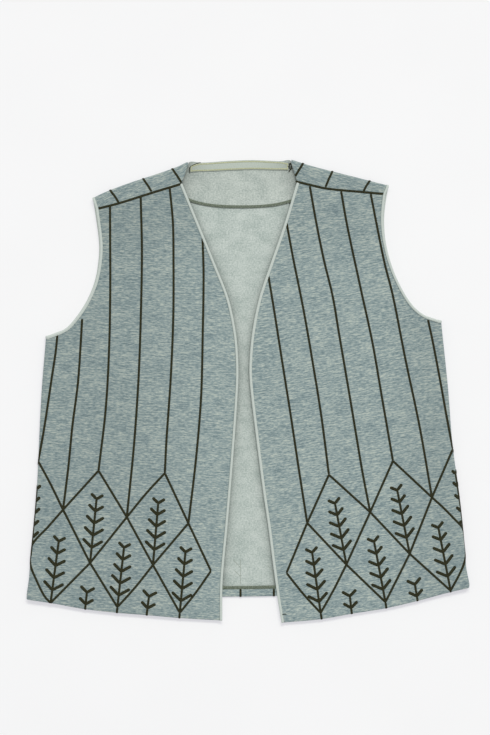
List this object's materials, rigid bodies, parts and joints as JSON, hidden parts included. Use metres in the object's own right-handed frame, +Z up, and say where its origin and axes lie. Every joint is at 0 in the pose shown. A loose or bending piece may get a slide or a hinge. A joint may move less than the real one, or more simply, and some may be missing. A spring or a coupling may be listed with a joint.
{
  "type": "embroidered vest",
  "caption": "Open-front sleeveless knit vest laid flat, with forward shoulder seams, bound edges and embroidered line and sprig work.",
  "frame": {"origin": "middle of the footprint, on the plane the vest lies on", "axes": "+X to the wearer's left side, +Y from the hem to the neck, +Z up out of the fronts"},
  "size_m": [0.6019, 0.629, 0.0096],
  "materials": {
    "knit_face": "blue-grey and sage melange sweatshirt knit, matt, with dark olive embroidery",
    "knit_inside": "brushed pale grey-green reverse of the same knit, matt",
    "edge_band": "narrow pale grey-green knit binding, matt",
    "neck_tape": "pale grey-green tape with two rows of yellow-green stitching, matt"
  },
  "bodies": {
    "root": {"back": "knit_face", "front_right": "knit_face", "front_left": "knit_face", "neck_facing": "knit_inside", "neck_tape": "neck_tape", "front_band_right": "edge_band", "front_band_left": "edge_band", "armhole_band_right": "edge_band", "armhole_band_left": "edge_band"}
  },
  "joints": []
}
